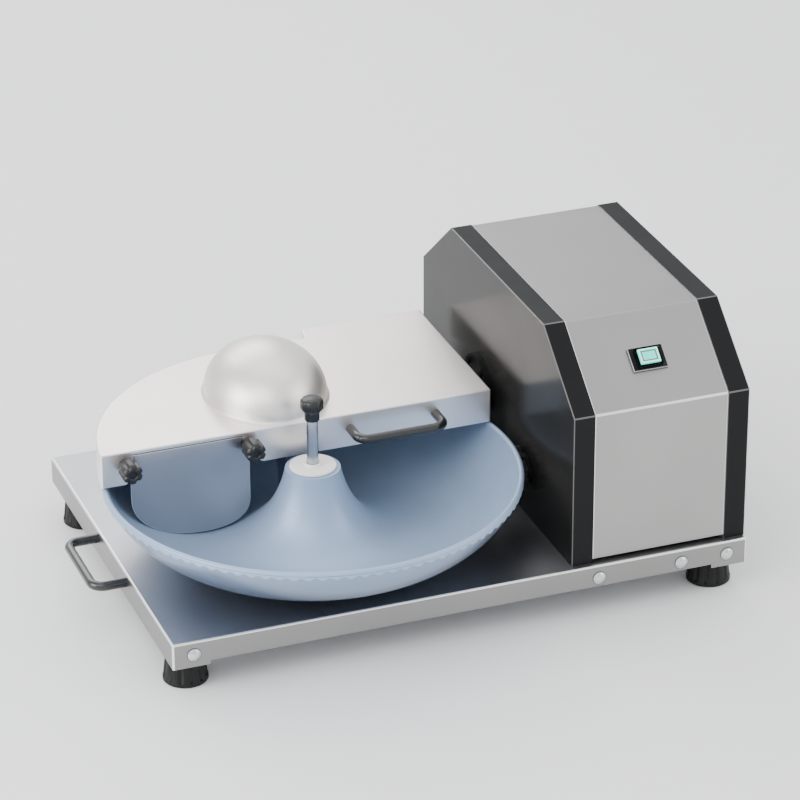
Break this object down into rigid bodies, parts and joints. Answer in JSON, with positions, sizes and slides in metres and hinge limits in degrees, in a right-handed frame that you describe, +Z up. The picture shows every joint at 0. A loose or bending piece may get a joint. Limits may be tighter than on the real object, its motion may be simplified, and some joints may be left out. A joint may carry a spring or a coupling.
{
  "type": "bowl cutter",
  "caption": "Table-top bowl cutter with a turning ring-shaped bowl, hinged lid with a domed knife guard, knife shaft, toothed-ring bowl drive and a motor housing with a lit push switch.",
  "frame": {"origin": "middle of the footprint of the whole machine, on the surface that the feet stand on", "axes": "+Z up, +X from the bowl to the motor housing, -Y towards the operator"},
  "size_m": [0.744, 0.5768, 0.336],
  "materials": {
    "stainless": "brushed",
    "lid_steel": "satin",
    "bowl_metal": "satin",
    "black_paint": "semi gloss",
    "black_plastic": "moulded",
    "rubber": "matte",
    "white_plastic": "turned",
    "machined_steel": "machined",
    "zinc": "plated",
    "motor_paint": "painted",
    "bronze": "turned",
    "lens": "gloss"
  },
  "bodies": {
    "base": {"base_tray": "stainless", "tray_screws": "zinc", "rubber_feet": "rubber", "foot_spacers": "zinc", "foot_bolts": "zinc", "carry_handle": "black_plastic", "carry_handle_screws": "zinc", "left_cheek": "black_paint", "right_cheek": "black_paint", "wrap_cover": "stainless", "rear_cover": "stainless", "louvre_hoods": "stainless", "cover_screws": "zinc", "cable_inlet": "black_plastic", "switch_bezel": "black_plastic", "spindle_post": "machined_steel", "thrust_washer": "bronze", "post_bolts": "zinc", "pinion_flange": "black_plastic", "gear_motor": "motor_paint", "gear_bracket": "zinc", "gear_bolts": "zinc", "hinge_bracket": "stainless", "hinge_pin": "machined_steel", "bracket_bolts": "zinc", "knife_housing": "machined_steel", "knife_bearings": "machined_steel", "shaft_seal": "rubber", "knife_flange_screws": "zinc", "drive_belt": "rubber", "drive_motor": "motor_paint", "motor_plate": "zinc", "motor_bolts": "zinc", "start_capacitor": "motor_paint"},
    "bowl_turn": {"bowl": "bowl_metal", "crown_ring": "bowl_metal", "bowl_hub": "machined_steel", "bowl_bushes": "bronze", "bowl_collar": "white_plastic"},
    "clamp": {"clamp_rod": "machined_steel", "clamp_knob": "black_plastic"},
    "pinion": {"drive_pinion": "black_plastic", "pinion_shaft": "machined_steel"},
    "lid": {"lid_shell": "lid_steel", "lid_dome": "lid_steel", "lid_handle": "black_plastic", "lid_handle_screws": "zinc", "baffle_plate": "bowl_metal", "knob_nuts": "zinc", "hinge_lugs": "stainless"},
    "left_knob": {"left_plate_knob": "black_plastic"},
    "right_knob": {"right_plate_knob": "black_plastic"},
    "knife_body": {"knife_shaft": "machined_steel", "knife_spacers": "machined_steel", "knife_nut": "machined_steel", "knife_pulley": "zinc", "knives": "machined_steel"},
    "rotor": {"motor_rotor": "machined_steel", "motor_pulley": "zinc"},
    "button": {"power_button": "lens"}
  },
  "joints": [
    {"name": "bowl_spin", "type": "hinge", "parent": "base", "child": "bowl_turn", "pos_m": [-0.10295, -0.0454, 0.07], "axis": [0, 0, 1], "continuous": true},
    {"name": "clamp_turn", "type": "hinge", "parent": "base", "child": "clamp", "pos_m": [-0.10295, -0.0454, 0.17], "axis": [0, 0, 1], "range_deg": [0, 720]},
    {"name": "pinion_spin", "type": "hinge", "parent": "base", "child": "pinion", "pos_m": [0.13692, -0.0614, 0.13024], "axis": [1, 0, 0], "continuous": true},
    {"name": "lid_hinge", "type": "hinge", "parent": "base", "child": "lid", "pos_m": [0.00205, 0.2432, 0.193], "axis": [-1, 0, 0], "range_deg": [0, 95]},
    {"name": "left_knob_turn", "type": "hinge", "parent": "lid", "child": "left_knob", "pos_m": [-0.31345, -0.0044, 0.1925], "axis": [0, -1, 0], "range_deg": [0, 720]},
    {"name": "right_knob_turn", "type": "hinge", "parent": "lid", "child": "right_knob", "pos_m": [-0.16595, -0.0044, 0.1925], "axis": [0, -1, 0], "range_deg": [0, 720]},
    {"name": "knife_spin", "type": "hinge", "parent": "base", "child": "knife_body", "pos_m": [-0.11595, 0.0836, 0.175], "axis": [1, 0, 0], "continuous": true},
    {"name": "rotor_spin", "type": "hinge", "parent": "base", "child": "rotor", "pos_m": [0.33155, 0.1886, 0.154], "axis": [1, 0, 0], "continuous": true},
    {"name": "button_press", "type": "slide", "parent": "base", "child": "button", "axis": [0, 0.6337, -0.7736], "range_m": [0, 0.003], "stiffness_N_per_m": 400}
  ],
  "couplings": [
    {"joint": "pinion_spin", "follows": "bowl_spin", "ratio": -8.7273},
    {"joint": "rotor_spin", "follows": "knife_spin", "ratio": 1}
  ]
}
